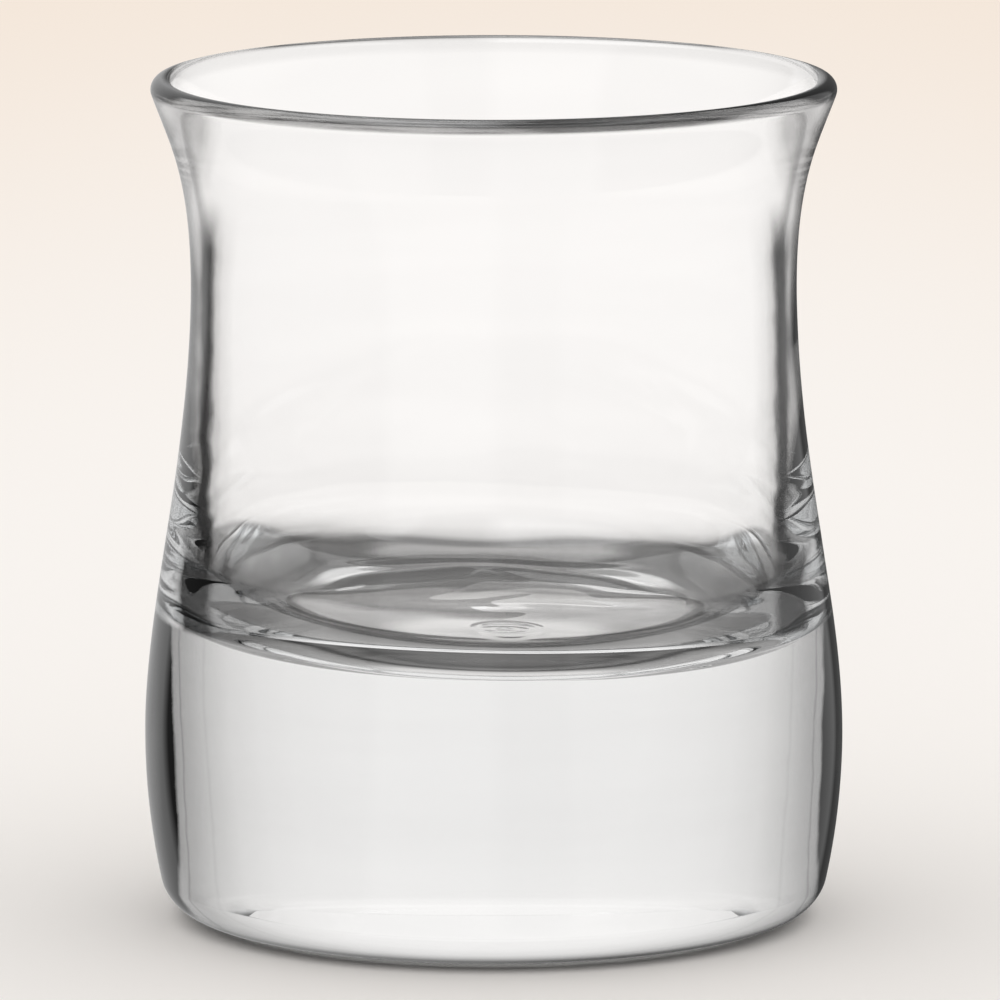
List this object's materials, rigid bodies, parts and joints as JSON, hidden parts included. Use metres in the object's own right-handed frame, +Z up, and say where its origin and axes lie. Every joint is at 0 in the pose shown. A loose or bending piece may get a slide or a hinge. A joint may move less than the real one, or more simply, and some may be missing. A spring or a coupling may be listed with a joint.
{
  "type": "shot glass",
  "caption": "Clear shot glass with a waisted bowl, a flared fire-polished rim and a heavy solid base.",
  "frame": {"origin": "centre of the foot, on the surface that the glass stands on", "axes": "+Z up along the glass's axis of symmetry, from the foot to the rim; X and Y are equivalent"},
  "size_m": [0.0506, 0.0506, 0.061],
  "materials": {
    "clear_glass": "smooth fire-polished clear glass"
  },
  "bodies": {
    "root": {"glass_body": "clear_glass"}
  },
  "joints": []
}
